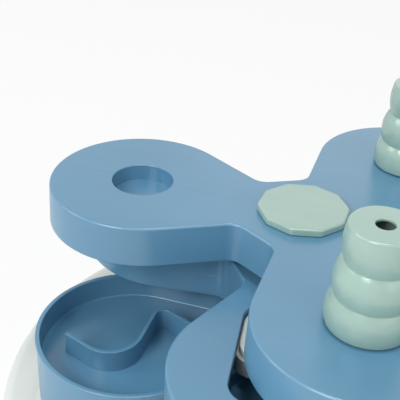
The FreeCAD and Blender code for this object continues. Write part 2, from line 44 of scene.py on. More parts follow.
# sizes that several pieces share, in millimetres and degrees
levels = {
    "reach": 70.0, "radius": 39.8, "flank": 30.0, "notch": 27.5, "bend": 6.9,
    "plateTop": 12.0, "pedestalTop": 23.0, "hubSeat": 52.1, "trayRim": 52.4,
    "bowlHub": 53.3, "middleFoot": 58.1, "seam": 68.9, "coverTop": 80.9,
    "topHub": 82.1, "topFoot": 85.9, "topFace": 103.2, "capFoot": 103.4,
    "trayTurn": 90.0, "middleTurn": 36.2, "topTurn": 178.4,
    "wall": 2.0, "journal": 10.06, "topJournal": 7.06, "hubWall": 3.0,
    "boss": 3.4, "pilot": 1.42, "clearHole": 1.55, "bossSide": 29.0,
}

# how the forms are put together, in millimetres:
# sink is how far ribs and bosses go into what carries them, hair keeps two faces out of one plane,
# past is how far a cutter goes through a face, near and slack say when a point is on a face or an edge,
# inward is an inset that a rounding aims at, merge joins points, chamfer breaks an inner edge,
# and faces that meet at less than smooth degrees are shaded as one
work = {"sink": 0.3, "hair": 0.02, "past": 2.0, "near": 0.01, "slack": 0.1,
        "inward": 20.0, "merge": 0.01, "chamfer": 0.2, "smooth": 32.0}

# how many sides the round forms get, and how many steps each stretch of the lobed outline
roundness = {"screw": 24, "bore": 32, "boss": 40, "foot": 48, "tube": 72, "hub": 96, "cup": 120, "base": 180}
outlineSteps = {"lobe": 56, "flank": 8, "bend": 8, "flat": 4}


# helpers for working on one piece at a time
def only(piece):
    if bpy.context.mode != "OBJECT":
        bpy.ops.object.mode_set(mode="OBJECT")
    bpy.ops.object.select_all(action="DESELECT")
    piece.select_set(True)
    bpy.context.view_layer.objects.active = piece


def edit(piece, kind):
    only(piece)
    bpy.ops.object.mode_set(mode="EDIT")
    bpy.ops.mesh.select_mode(type=kind)
    bpy.ops.mesh.select_all(action="DESELECT")
    return bmesh.from_edit_mesh(piece.data)


def facedOut():
    # turns all faces of the piece in edit mode outwards and leaves edit mode
    bpy.ops.mesh.select_all(action="SELECT")
    bpy.ops.mesh.normals_make_consistent(inside=False)
    bpy.ops.object.mode_set(mode="OBJECT")


def pickFaces(piece, test):
    mesh = edit(piece, "FACE")
    for face in mesh.faces:
        face.select_set(bool(test(face.calc_center_median() / mm)))
    bmesh.update_edit_mesh(piece.data)


def pickEdges(piece, test):
    mesh = edit(piece, "EDGE")
    for edge in mesh.edges:
        a, b = (v.co / mm for v in edge.verts)
        edge.select_set(bool(test(a, b)))
    bmesh.update_edit_mesh(piece.data)


def named(name):
    piece = bpy.context.object
    piece.name = name
    piece.data.name = name
    return piece


def applied(piece, kind, **settings):
    only(piece)
    modifier = piece.modifiers.new(kind.title(), kind)
    for key, value in settings.items():
        setattr(modifier, key, value)
    bpy.ops.object.modifier_apply(modifier=modifier.name)


def joined(pieces):
    only(pieces[0])
    for piece in pieces[1:]:
        piece.select_set(True)
    bpy.ops.object.join()
    return pieces[0]


def combine(piece, tools, operation):
    for tool in tools:
        applied(piece, "BOOLEAN", operation=operation, solver="EXACT", object=tool)
        bpy.data.objects.remove(tool)


def added(piece, *tools):
    combine(piece, tools, "UNION")


def cut(piece, *tools):
    combine(piece, tools, "DIFFERENCE")


def bevelPicked(width, segments):
    bpy.ops.mesh.bevel(offset=width * mm, segments=segments, profile=0.5, clamp_overlap=True)
    bpy.ops.object.mode_set(mode="OBJECT")


def bevelled(piece, width, segments, test):
    pickEdges(piece, test)
    bevelPicked(width, segments)


def cleaned(piece):
    edit(piece, "VERT")
    bpy.ops.mesh.select_all(action="SELECT")
    bpy.ops.mesh.remove_doubles(threshold=work["merge"] * mm)
    facedOut()
    only(piece)
    bpy.ops.object.transform_apply(location=True, rotation=True, scale=True)
    bpy.ops.object.shade_smooth_by_angle(angle=math.radians(work["smooth"]))
    applied(piece, "WEIGHTED_NORMAL", keep_sharp=True, weight=80)


# geometry in millimetres
def spotAt(distance, side, turn):
    # a spot at this distance from the post and this far to the side, turned about the post
    a = math.radians(turn)
    return (distance * math.cos(a) - side * math.sin(a), distance * math.sin(a) + side * math.cos(a))


def arcPoints(start, through, end, count):
    # points after start on the arc through three points
    (ax, ay), (bx, by), (cx, cy) = start, through, end
    d = 2 * (ax * (by - cy) + bx * (cy - ay) + cx * (ay - by))
    ux = ((ax**2 + ay**2) * (by - cy) + (bx**2 + by**2) * (cy - ay) + (cx**2 + cy**2) * (ay - by)) / d
    uy = ((ax**2 + ay**2) * (cx - bx) + (bx**2 + by**2) * (ax - cx) + (cx**2 + cy**2) * (bx - ax)) / d
    radius = math.hypot(ax - ux, ay - uy)
    first = math.atan2(ay - uy, ax - ux)
    sweep = (math.atan2(cy - uy, cx - ux) - first) % math.tau
    passing = (math.atan2(by - uy, bx - ux) - first) % math.tau
    if passing > sweep:
        sweep -= math.tau
    return [(ux + radius * math.cos(first + sweep * k / count),
             uy + radius * math.sin(first + sweep * k / count)) for k in range(1, count + 1)]


def rounded(corner, before, after, radius, count):
    # a rounded corner from the side of one point to the side of the other
    a = Vector(before) - Vector(corner)
    b = Vector(after) - Vector(corner)
    a.normalize()
    b.normalize()
    half = a.angle(b) / 2
    run = radius / math.tan(half)
    middle = (a + b).normalized() * (radius / math.sin(half) - radius)
    start = Vector(corner) + a * run
    end = Vector(corner) + b * run
    return [tuple(start)] + arcPoints(start, Vector(corner) + middle, end, count)


def straight(start, end, count):
    return [(start[0] + (end[0] - start[0]) * k / count,
             start[1] + (end[1] - start[1]) * k / count) for k in range(1, count + 1)]


def lobedOutline(inset, turn):
    # lobe arc, flank, bend, flat, bend, flank, three times round
    steps = outlineSteps
    r = levels["radius"] - inset
    flat = levels["notch"] - inset
    bend = levels["bend"] + inset
    slope = math.radians(levels["flank"])
    touch = Vector(spotAt(r, 0, 90 + levels["flank"])) + Vector((levels["reach"], 0))
    out = Vector((math.cos(slope), math.sin(slope)))
    across = Vector(spotAt(1, 0, 60))
    along = Vector((-across.y, across.x))
    corner = touch - out * ((touch.dot(across) - flat) / out.dot(across))
    half = out.angle(along) / 2
    run = bend / math.tan(half)
    deep = corner + (out + along).normalized() * (bend / math.sin(half) - bend)

    def flipped(point):
        return across * (2 * Vector(point).dot(across)) - Vector(point)

    flankEnd, flatEnd = corner + out * run, corner + along * run
    low = Vector((touch.x, -touch.y))
    third = arcPoints(low, (levels["reach"] + r, 0), touch, steps["lobe"])
    third += straight(touch, flankEnd, steps["flank"])
    third += arcPoints(flankEnd, deep, flatEnd, steps["bend"])
    third += straight(flatEnd, flipped(flatEnd), steps["flat"])
    third += arcPoints(flipped(flatEnd), flipped(deep), flipped(flankEnd), steps["bend"])
    third += straight(flipped(flankEnd), flipped(touch), steps["flank"])
    return [spotAt(x, y, turn + 120 * lobe) for lobe in range(3) for x, y in third]


def lobedForm(name, section, turn):
    # the flat three-lobed face is extruded again and again, and each new rim is set to its inset and height
    outline = lobedOutline(section[0][0], turn)
    bpy.ops.mesh.primitive_circle_add(vertices=len(outline), radius=0.1, fill_type="NGON")
    piece = named(name)
    for vertex, (x, y) in zip(piece.data.vertices, outline):
        vertex.co = Vector((x, y, section[0][1])) * mm
    edit(piece, "FACE")
    bpy.ops.mesh.select_all(action="SELECT")
    for inset, height in section[1:]:
        places = KDTree(len(outline))
        for k, (x, y) in enumerate(outline):
            places.insert((x, y, 0), k)
        places.balance()
        outline = lobedOutline(inset, turn)
        bpy.ops.mesh.extrude_region_move()
        mesh = bmesh.from_edit_mesh(piece.data)
        for vertex in mesh.verts:
            if vertex.select:
                k = places.find((vertex.co.x / mm, vertex.co.y / mm, 0))[1]
                vertex.co = Vector((*outline[k], height)) * mm
        bmesh.update_edit_mesh(piece.data)
    facedOut()
    return piece


def spunForm(name, section, steps=roundness["hub"], at=(0.0, 0.0)):
    # a closed section of radius and height, spun round an upright axis
    bpy.ops.mesh.primitive_circle_add(vertices=len(section), radius=0.1, fill_type="NOTHING")
    piece = named(name)
    for vertex, (r, z) in zip(piece.data.vertices, section):
        vertex.co = Vector((at[0] + r, at[1], z)) * mm
    edit(piece, "VERT")
    bpy.ops.mesh.select_all(action="SELECT")
    centre = (at[0] * mm, at[1] * mm, 0)
    bpy.ops.mesh.spin(steps=steps, angle=math.tau, center=centre, axis=(0, 0, 1))
    bpy.ops.mesh.select_all(action="SELECT")
    bpy.ops.mesh.remove_doubles(threshold=work["merge"] * mm)
    bpy.ops.mesh.delete_loose()
    facedOut()
    return piece


def barrel(radius, low, high, at=(0.0, 0.0), sides=roundness["tube"]):
    bpy.ops.mesh.primitive_cylinder_add(
        vertices=sides, radius=radius * mm, depth=(high - low) * mm,
        location=Vector((at[0], at[1], (low + high) / 2)) * mm)
    return bpy.context.object


def brick(low, high, turn=0.0):
    # a box from its low corner to its high corner, turned about the post
    bpy.ops.mesh.primitive_cube_add(size=1)
    piece = bpy.context.object
    size = Vector(high) - Vector(low)
    middle = (Vector(high) + Vector(low)) / 2
    piece.data.transform(Matrix.Translation(middle * mm) @ Matrix.Diagonal((*(size * mm), 1)))
    piece.data.transform(Matrix.Rotation(math.radians(turn), 4, "Z"))
    return piece


def padForm(start, end, half, corner, low, high, turn, segments=10):
    # a block along one lobe with its upright edges rounded
    piece = brick((start, -half, low), (end, half, high))
    bevelled(piece, corner, segments, lambda a, b: abs(a.z - b.z) > 0.5 * (high - low))
    piece.data.transform(Matrix.Rotation(math.radians(turn), 4, "Z"))
    return piece


def lobeTurns(first):
    return [first + 120 * k for k in range(3)]


def lobeCentre(turn):
    return spotAt(levels["reach"], 0, turn)


def atHeight(a, b, height):
    return abs(a.z - height) < work["near"] and abs(b.z - height) < work["near"]


def onRing(a, b, turns, radius, height):
    # an edge of a round opening of this radius, one in the middle of each lobe, at this height
    if not atHeight(a, b, height):
        return False
    for turn in turns:
        x, y = lobeCentre(turn)
        if all(abs(math.hypot(point.x - x, point.y - y) - radius) < work["slack"] for point in (a, b)):
            return True
    return False


def dressed(piece, nodes, body, finish):
    # cleans a finished piece, gives it its finish and sets it in the place of its nodes
    cleaned(piece)
    piece.data.materials.clear()
    piece.data.materials.append(finish)
    for node in nodes:
        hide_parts(node)
    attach(piece, body)


# finishes
def srgb(r, g, b):
    def linear(c):
        c = c / 255
        return c / 12.92 if c <= 0.04045 else ((c + 0.055) / 1.055) ** 2.4
    return (linear(r), linear(g), linear(b), 1.0)


def newMaterial(name):
    material = bpy.data.materials.new(name)
    material.use_nodes = True
    return material, material.node_tree.nodes, material.node_tree.links


def sumNode(nodes, operation, second=None):
    made = nodes.new("ShaderNodeMath")
    made.operation = operation
    if second is not None:
        made.inputs[1].default_value = second
    return made


def rangeNode(nodes, low, high):
    made = nodes.new("ShaderNodeMapRange")
    made.inputs["To Min"].default_value = low
    made.inputs["To Max"].default_value = high
    return made


def mixNode(nodes, blend):
    made = nodes.new("ShaderNodeMix")
    made.data_type = "RGBA"
    made.blend_type = blend
    return made


def noiseNode(nodes, size):
    # size is the scale and the detail
    made = nodes.new("ShaderNodeTexNoise")
    made.inputs["Scale"].default_value = size[0]
    made.inputs["Detail"].default_value = size[1]
    return made


def bumpNode(nodes, strength, height):
    made = nodes.new("ShaderNodeBump")
    made.inputs["Strength"].default_value = strength
    made.inputs["Distance"].default_value = height
    return made


# the weld line behind the empty pocket, where the melt met:
# how far from the post it starts and half its width, in metres, how strong it is, and what it multiplies by
weldLine = {"start": 0.018, "half": 0.0004, "strength": 0.14, "shade": (0.1, 0.1, 0.1, 1.0)}


def welded(nodes, links, place, colour, turn):
    # a hair line along one lobe, darker than the plastic round it
    aim = nodes.new("ShaderNodeVectorRotate")
    aim.rotation_type = "Z_AXIS"
    aim.inputs["Angle"].default_value = -math.radians(turn)
    apart = nodes.new("ShaderNodeSeparateXYZ")
    aside = sumNode(nodes, "ABSOLUTE")
    ahead = sumNode(nodes, "GREATER_THAN", weldLine["start"])
    line = rangeNode(nodes, weldLine["strength"], 0.0)
    line.inputs["From Max"].default_value = weldLine["half"]
    there = sumNode(nodes, "MULTIPLY")
    dark = mixNode(nodes, "MULTIPLY")
    dark.inputs["B"].default_value = weldLine["shade"]
    links.new(place.outputs["Object"], aim.inputs["Vector"])
    links.new(aim.outputs["Vector"], apart.inputs["Vector"])
    links.new(apart.outputs["Y"], aside.inputs[0])
    links.new(apart.outputs["X"], ahead.inputs[0])
    links.new(aside.outputs[0], line.inputs["Value"])
    links.new(line.outputs["Result"], there.inputs[0])
    links.new(ahead.outputs[0], there.inputs[1])
    links.new(there.outputs[0], dark.inputs["Factor"])
    links.new(colour, dark.inputs["A"])
    return dark.outputs["Result"]


# what all the plastics share: each noise is its scale and detail, and heights are in metres
moulding = {
    "ior": 1.57, "shine": 0.75, "scatter": (0.9, 1.0, 1.1), "scatterDepth": 0.0012,
    "clouds": (16, 3), "cloudEdges": (0.32, 0.70), "streaks": (9, 5), "streakWarp": 0.6, "streakThin": 9.0,
    "grain": (1900, 2), "grainHeight": 0.00006, "ripple": (60, 1), "rippleHeight": 0.0004,
    "glossSpread": 0.015,
}


def plasticFinish(name, look):
    # moulded plastic: pigment clouds, faint flow streaks, spark-eroded grain and a satin skin
    material, nodes, links = newMaterial(name)
    shader = nodes["Principled BSDF"]
    shader.inputs["IOR"].default_value = moulding["ior"]
    shader.inputs["Specular IOR Level"].default_value = moulding["shine"]
    shader.inputs["Subsurface Weight"].default_value = look["depth"]
    shader.inputs["Subsurface Radius"].default_value = moulding["scatter"]
    shader.inputs["Subsurface Scale"].default_value = moulding["scatterDepth"]
    place = nodes.new("ShaderNodeTexCoord")

    clouds = noiseNode(nodes, moulding["clouds"])
    streaks = noiseNode(nodes, moulding["streaks"])
    streaks.inputs["Distortion"].default_value = moulding["streakWarp"]
    squeeze = nodes.new("ShaderNodeMapping")
    squeeze.inputs["Rotation"].default_value = (0, 0, math.radians(look["flow"]))
    squeeze.inputs["Scale"].default_value = (1.0, moulding["streakThin"], 1.0)
    links.new(place.outputs["Object"], clouds.inputs["Vector"])
    links.new(place.outputs["Object"], squeeze.inputs["Vector"])
    links.new(squeeze.outputs["Vector"], streaks.inputs["Vector"])

    tint = nodes.new("ShaderNodeValToRGB")
    for stop, edge, pigment in zip(tint.color_ramp.elements, moulding["cloudEdges"], ("deep", "light")):
        stop.position = edge
        stop.color = srgb(*look[pigment])
    links.new(clouds.outputs["Fac"], tint.inputs["Fac"])
    flow = mixNode(nodes, "SOFT_LIGHT")
    flow.inputs["Factor"].default_value = look["streak"]
    links.new(tint.outputs["Color"], flow.inputs["A"])
    links.new(streaks.outputs["Fac"], flow.inputs["B"])
    colour = flow.outputs["Result"]
    if look["weld"] is not None:
        colour = welded(nodes, links, place, colour, look["weld"])
    links.new(colour, shader.inputs["Base Color"])

    grain = noiseNode(nodes, moulding["grain"])
    ripple = noiseNode(nodes, moulding["ripple"])
    fine = bumpNode(nodes, look["grain"], moulding["grainHeight"])
    broad = bumpNode(nodes, look["ripple"], moulding["rippleHeight"])
    skin = rangeNode(nodes, look["gloss"] - moulding["glossSpread"], look["gloss"] + moulding["glossSpread"])
    links.new(grain.outputs["Fac"], skin.inputs["Value"])
    links.new(skin.outputs["Result"], shader.inputs["Roughness"])
    links.new(place.outputs["Object"], grain.inputs["Vector"])
    links.new(place.outputs["Object"], ripple.inputs["Vector"])
    links.new(grain.outputs["Fac"], fine.inputs["Height"])
    links.new(ripple.outputs["Fac"], broad.inputs["Height"])
    links.new(fine.outputs["Normal"], broad.inputs["Normal"])
    links.new(broad.outputs["Normal"], shader.inputs["Normal"])
    return material


def metalFinish(name, look):
    # plated steel: a fine spangle in its colour and its gloss
    material, nodes, links = newMaterial(name)
    shader = nodes["Principled BSDF"]
    shader.inputs["Metallic"].default_value = 1.0
    place = nodes.new("ShaderNodeTexCoord")
    spots = nodes.new("ShaderNodeTexVoronoi")
    spots.inputs["Scale"].default_value = look["spangle"]
    tint = nodes.new("ShaderNodeValToRGB")
    tint.color_ramp.elements[0].color = srgb(*[part * look["dark"] for part in look["colour"]])
    tint.color_ramp.elements[1].color = srgb(*look["colour"])
    haze = rangeNode(nodes, *look["haze"])
    links.new(place.outputs["Object"], spots.inputs["Vector"])
    links.new(spots.outputs["Distance"], tint.inputs["Fac"])
    links.new(spots.outputs["Distance"], haze.inputs["Value"])
    links.new(tint.outputs["Color"], shader.inputs["Base Color"])
    links.new(haze.outputs["Result"], shader.inputs["Roughness"])
    return material


# one look for each finish: deep and light pigment, strength and direction of the streaks, weld line,
# roughness of the gloss, grain, ripple and how deep light goes in
blueLook = {"deep": (83, 133, 163), "light": (89, 139, 170), "streak": 0.05, "flow": 0.0, "weld": None,
            "gloss": 0.29, "grain": 0.03, "ripple": 0.03, "depth": 0.0}
mintLook = {"deep": (147, 176, 165), "light": (153, 182, 172), "streak": 0.05, "flow": 20.0, "weld": None,
            "gloss": 0.22, "grain": 0.03, "ripple": 0.03, "depth": 0.08}
paleLook = {"deep": (205, 211, 207), "light": (213, 218, 214), "streak": 0.06, "flow": 60.0, "weld": None,
            "gloss": 0.42, "grain": 0.10, "ripple": 0.04, "depth": 0.05}
washerLook = {"deep": (214, 214, 206), "light": (224, 224, 216), "streak": 0.05, "flow": 0.0, "weld": None,
              "gloss": 0.5, "grain": 0.2, "ripple": 0.0, "depth": 0.05}
rubberLook = {"deep": (150, 156, 155), "light": (162, 168, 166), "streak": 0.08, "flow": 0.0, "weld": None,
              "gloss": 0.75, "grain": 0.5, "ripple": 0.1, "depth": 0.0}
zincLook = {"colour": (176, 178, 180), "dark": 0.8, "spangle": 900, "haze": (0.26, 0.44)}

trayBlue = plasticFinish("trayBlue", {**blueLook, "flow": levels["trayTurn"]})
middleBlue = plasticFinish("middleBlue", {**blueLook, "flow": levels["middleTurn"]})
topBlue = plasticFinish("topBlue", {**blueLook, "flow": levels["topTurn"], "weld": levels["topTurn"]})
mint = plasticFinish("mint", mintLook)
mintCap = plasticFinish("mintCap", {**mintLook, "streak": 0.16, "flow": 75.0})
palePlastic = plasticFinish("palePlastic", paleLook)
lidPlastic = plasticFinish("lidPlastic", {**paleLook, "flow": levels["middleTurn"]})
postPlastic = plasticFinish("postPlastic", {**paleLook, "flow": 0.0})
washerPlastic = plasticFinish("washerPlastic", washerLook)
softRubber = plasticFinish("softRubber", rubberLook)
zincSteel = metalFinish("zincSteel", zincLook)
print("finishes mixed")


# top level: deep lobed plate, hollow from below, with a round pocket in each lobe
topPlate = {"rim": 1.0, "draft": 0.4, "footRim": 0.4, "footChamfer": 0.3, "roof": 2.4,
            "pocket": 13.0, "pocketDepth": 7.35, "pocketWall": 1.8, "pocketRim": 0.6,
            "rib": 1.6, "ribDepth": 11.0, "ribRoot": 1.0}


def makeTopPlate():
    own, face, foot, wall = topPlate, levels["topFace"], levels["topFoot"], levels["wall"]
    chamfer, journal, past = own["footChamfer"], levels["topJournal"], work["past"]
    section = [(wall + own["draft"], face - own["roof"]), (wall, foot + chamfer), (wall - chamfer, foot)]
    section += rounded((0, foot), (wall, foot), (0, face), own["footRim"], 3)
    section += rounded((own["draft"], face), (0, foot), (work["inward"], face), own["rim"], 6)
    plate = lobedForm("topPlate", section, levels["topTurn"])
    lobes = lobeTurns(levels["topTurn"])
    floor = face - own["pocketDepth"]
    under = face - own["roof"] + work["sink"]
    ribFoot = face - own["ribDepth"]
    half = own["rib"] / 2
    side = levels["radius"] - own["draft"] - wall / 2
    for turn in lobes:
        added(
            plate,
            barrel(own["pocket"] + own["pocketWall"], floor - own["roof"], under, lobeCentre(turn)),
            brick((journal + own["ribRoot"], -half, ribFoot), (levels["reach"] + side, half, under), turn),
            brick((levels["reach"] - half, -side, ribFoot), (levels["reach"] + half, side, under), turn))
    added(plate, barrel(journal + levels["hubWall"], levels["topHub"], under))
    for turn in lobes:
        cut(plate, barrel(own["pocket"], floor, face + past, lobeCentre(turn), roundness["cup"]))
    cut(plate, barrel(journal, levels["topHub"] - past, face + past))
    bevelled(plate, own["pocketRim"], 3, lambda a, b: onRing(a, b, lobes, own["pocket"], face))
    dressed(plate, ["top_plate"], "top_level", topBlue)


makeTopPlate()
print("top plate made")


# hub cap: ten-sided disc with softened corners, on a stem with a bore for the axle screw
hubCap = {"sides": 10, "turn": 194.4, "radius": 18.9, "thickness": 3.1, "corner": 1.2, "rim": 0.8,
          "footRim": 0.5, "stem": 4.0, "stemLength": 16.0, "bore": 2.02, "boreDepth": 11.5}


def makeHubCap():
    own, low = hubCap, levels["capFoot"]
    high = low + own["thickness"]
    stemFoot = low - own["stemLength"]
    barrel(own["radius"], low, high, sides=own["sides"])
    cap = named("hubCap")
    only(cap)
    bpy.ops.object.transform_apply(location=True, rotation=True, scale=True)
    corner = cap.data.vertices[0].co
    turn = math.radians(own["turn"]) - math.atan2(corner.y, corner.x)
    cap.data.transform(Matrix.Rotation(turn, 4, "Z"))
    bevelled(cap, own["corner"], 4, lambda a, b: abs(a.z - b.z) > own["thickness"] / 2)
    bevelled(cap, own["rim"], 4, lambda a, b: atHeight(a, b, high))
    bevelled(cap, own["footRim"], 2, lambda a, b: atHeight(a, b, low))
    added(cap, barrel(own["stem"], stemFoot, (low + high) / 2))
    boreTop = stemFoot + own["boreDepth"]
    cut(cap, barrel(own["bore"], stemFoot - work["past"], boreTop, sides=roundness["screw"]))
    dressed(cap, ["hub_cap"], "base", mintCap)


makeHubCap()
print("hub cap made")


# cones: three swelling steps over a tube that stands in a pocket, hollow, with a hole through the top
cone = {"height": 38.9, "lift": 0.5, "foot": 14.6, "footRim": 0.5, "belly": (15.25, 13.95, 12.45),
        "share": (0.4, 0.45, 0.48), "neck": (13.25, 11.65, 11.8), "step": (12.3, 25.4), "crease": 0.25,
        "topRound": 1.0, "hole": 3.3, "holeRim": 0.3, "holeLand": 0.9, "holeFlare": 5.5, "roof": 2.2,
        "groove": 1.2, "grooveSlope": 0.4, "spigot": 11.7, "spigotFoot": -7.05, "spigotRim": 0.3,
        "footBore": 9.8, "roofBore": 8.6}


def coneSection():
    # up the outside from the foot, over the top, down the inside and round the spigot
    own = cone
    foot, lift, height, hole = own["foot"], own["lift"], own["height"], own["hole"]
    spigot, spigotFoot = own["spigot"], own["spigotFoot"]
    steps = (lift, *own["step"], height - own["topRound"])
    here = (foot, lift + own["footRim"])
    section = rounded((foot, lift), (0, lift), (foot, height), own["footRim"], 4)
    for k in range(3):
        belly = (own["belly"][k], steps[k] + (steps[k + 1] - steps[k]) * own["share"][k])
        neck = (own["neck"][k], steps[k + 1])
        section += arcPoints(here, belly, neck, 14)
        here = neck
        if k < 2:
            here = (neck[0] - own["crease"], neck[1] + own["crease"] / 2)
            section.append(here)
    dip = own["topRound"] * (1 - math.sqrt(0.5))
    section += arcPoints(here, (here[0] - dip, height - dip), (here[0] - own["topRound"], height), 6)
    section += rounded((hole, height), (foot, height), (hole, 0), own["holeRim"], 4)
    roof = height - own["roof"]
    section += [(hole, height - own["holeLand"]), (own["holeFlare"], roof)]
    section += [(own["roofBore"], roof), (own["footBore"], spigotFoot)]
    section += rounded((spigot, spigotFoot), (0, spigotFoot), (spigot, 0), own["spigotRim"], 3)
    grooveTop = lift + own["groove"]
    grooveSide = foot - own["groove"]
    section += [(spigot, grooveTop), (grooveSide - own["grooveSlope"], grooveTop), (grooveSide, lift)]
    return section


def makeCone(name, node, pocket):
    piece = spunForm(name, coneSection(), roundness["cup"])
    x, y = lobeCentre(levels["topTurn"] + 120 * pocket)
    piece.data.transform(Matrix.Translation(Vector((x, y, levels["topFace"])) * mm))
    dressed(piece, [node], node, mint)


makeCone("nearCone", "near_cone", 1)
makeCone("farCone", "far_cone", 2)
print("cones made")


# tray: open lobed dish on the pedestal, with a hub over the post's foot and an S-shaped rib in each lobe
tray = {"wall": 1.5, "depth": 11.2, "floor": 2.2, "rim": 0.4, "footRim": 0.3, "floorBend": 0.8,
        "lip": 0.5, "lipHeight": 2.2, "lipRim": 0.2,
        "rib": 1.6, "ribDrop": 1.2, "ribRim": 0.5, "ribEnd": 0.49,
        "ribPath": [(97.0, -3.9), (76.7, 20.7), (55.0, -15.7), (41.8, 2.5)], "ribBend": (13.0, 4.0),
        "hub": 17.55, "hubInner": 15.15, "hubBore": 10.15, "hubRoof": 2.4, "hubRim": 0.5, "hubFillet": 0.8}


def ribLine():
    # the rib's middle line along a lobe: straight, wide bend, straight, tight bend, straight
    path = tray["ribPath"]
    line = [path[0]]
    for k, radius in enumerate(tray["ribBend"], 1):
        bend = rounded(path[k], path[k - 1], path[k + 1], radius, 14)
        line += straight(line[-1], bend[0], 6) + bend[1:]
    return line + straight(line[-1], path[3], 4)


def makeTrayRib(turn):
    # the line is drawn as a chain of points, pulled up into a wall and given its thickness
    own, line = tray, ribLine()
    low = levels["trayRim"] - own["depth"] - work["sink"]
    top = levels["trayRim"] - own["ribDrop"]
    bpy.ops.mesh.primitive_circle_add(vertices=len(line), radius=0.1, fill_type="NOTHING")
    rib = bpy.context.object
    for vertex, (x, y) in zip(rib.data.vertices, line):
        vertex.co = Vector((*spotAt(x, y, turn), low)) * mm
    first, last = rib.data.vertices[0].co / mm, rib.data.vertices[-1].co / mm
    pickEdges(rib, lambda a, b: {tuple(a), tuple(b)} == {tuple(first), tuple(last)})
    bpy.ops.mesh.delete(type="EDGE")
    bpy.ops.mesh.select_all(action="SELECT")
    bpy.ops.mesh.extrude_edges_move(TRANSFORM_OT_translate={"value": (0, 0, (top - low) * mm)})
    facedOut()
    applied(rib, "SOLIDIFY", thickness=own["rib"] * mm, offset=0, use_even_offset=True)

    def atEnd(a, b):
        return abs(a.z - b.z) > (top - low) / 2 and any(
            math.hypot(a.x - end.x, a.y - end.y) < own["rib"] for end in (first, last))

    bevelled(rib, own["rib"] * own["ribEnd"], 5, atEnd)
    pickFaces(rib, lambda centre: centre.z > top - work["near"])
    bpy.ops.mesh.region_to_loop()
    bevelPicked(own["ribRim"], 3)
    return rib


def trayHub(floor):
    # tube that hides the post's foot, with a small fillet where it leaves the dish's floor
    own, low, high = tray, levels["pedestalTop"], levels["hubSeat"]
    hub, fillet = own["hub"], own["hubFillet"]
    roof = high - own["hubRoof"]
    sunk = floor - own["floor"] / 2
    section = [(own["hubInner"], low), (own["hubInner"], roof)]
    section += [(own["hubBore"], roof), (own["hubBore"], high)]
    section += rounded((hub, high), (0, high), (hub, low), own["hubRim"], 3)
    section += rounded((hub, floor), (hub, high), (hub + work["inward"], floor), fillet, 4)
    section += [(hub + fillet, sunk), (hub, sunk), (hub, low)]
    return spunForm("hub", section)


def makeTray():
    own, rim, foot = tray, levels["trayRim"], levels["pedestalTop"]
    lip, chamfer, past = own["lip"], work["chamfer"], work["past"]
    floor = rim - own["depth"]
    under = floor - own["floor"]
    inner = lip + own["wall"]
    lipFoot = rim - own["lipHeight"]
    section = [(inner, under), (inner, foot + chamfer), (inner - chamfer, foot)]
    section += rounded((lip, foot), (inner, foot), (lip, rim), own["footRim"], 3)
    section += [(lip, lipFoot - chamfer), (lip - chamfer, lipFoot)]
    section += rounded((0, lipFoot), (lip, lipFoot), (0, rim), own["lipRim"], 3)
    section += rounded((0, rim), (0, foot), (inner, rim), own["rim"], 4)
    section += rounded((inner, rim), (0, rim), (inner, foot), own["rim"], 4)
    section += rounded((inner, floor), (inner, rim), (work["inward"], floor), own["floorBend"], 5)
    dish = lobedForm("tray", section, levels["trayTurn"])
    lobes = lobeTurns(levels["trayTurn"])
    cut(dish, barrel((own["hub"] + own["hubInner"]) / 2, under - past, rim + past))
    added(dish, trayHub(floor))
    for turn in lobes:
        added(dish, makeTrayRib(turn))
    bossTop = floor - own["floor"] / 2
    for turn in lobes:
        added(dish, barrel(levels["boss"], foot, bossTop, lobeCentre(turn), roundness["boss"]))
    for turn in lobes:
        cut(dish, barrel(levels["pilot"], foot - past, under, lobeCentre(turn), roundness["screw"]))
    dressed(dish, ["tray"], "base", trayBlue)


makeTray()
print("tray made")


# middle level: bowl below, cover with windows above, lids between
middle = {"deckDrop": 0.7, "deck": 2.0, "deckGap": 0.1, "cup": 18.8, "cupDepth": 7.0, "cupWall": 1.8,
          "cupRim": 0.5, "cupBend": 0.8, "footRim": 0.6, "roof": 2.2, "rim": 1.0, "seamGroove": 0.2,
          "bowlRib": 1.6, "bowlRibRise": 2.0, "bowlRibSink": 0.5, "lip": 1.6, "lipDepth": 5.2,
          "windowStart": 35.0, "windowEnd": 88.2, "windowHalf": 16.5, "windowCorner": 8.6, "windowRim": 0.5,
          "guidePlay": 0.5, "guideWall": 1.5, "screwSeat": 65.2, "bossFoot": 63.1, "headHole": 3.1}

# sliding lids: a raised pad with a shallow finger dish on a hollow flange
lid = {"length": 28.0, "play": 0.35, "rise": 0.3, "lipPlay": 0.4, "flangeBack": 5.0, "flangeSide": 1.3,
       "flangeRim": 0.3, "wall": 1.8, "topDrop": 2.1, "rim": 0.8, "dish": 9.0, "dishDepth": 1.2,
       "ballSteps": (192, 160)}


def bossSpots():
    # where the six screws of the middle level stand
    return [spotAt(levels["reach"], side, turn) for turn in lobeTurns(levels["middleTurn"])
            for side in (levels["bossSide"], -levels["bossSide"])]


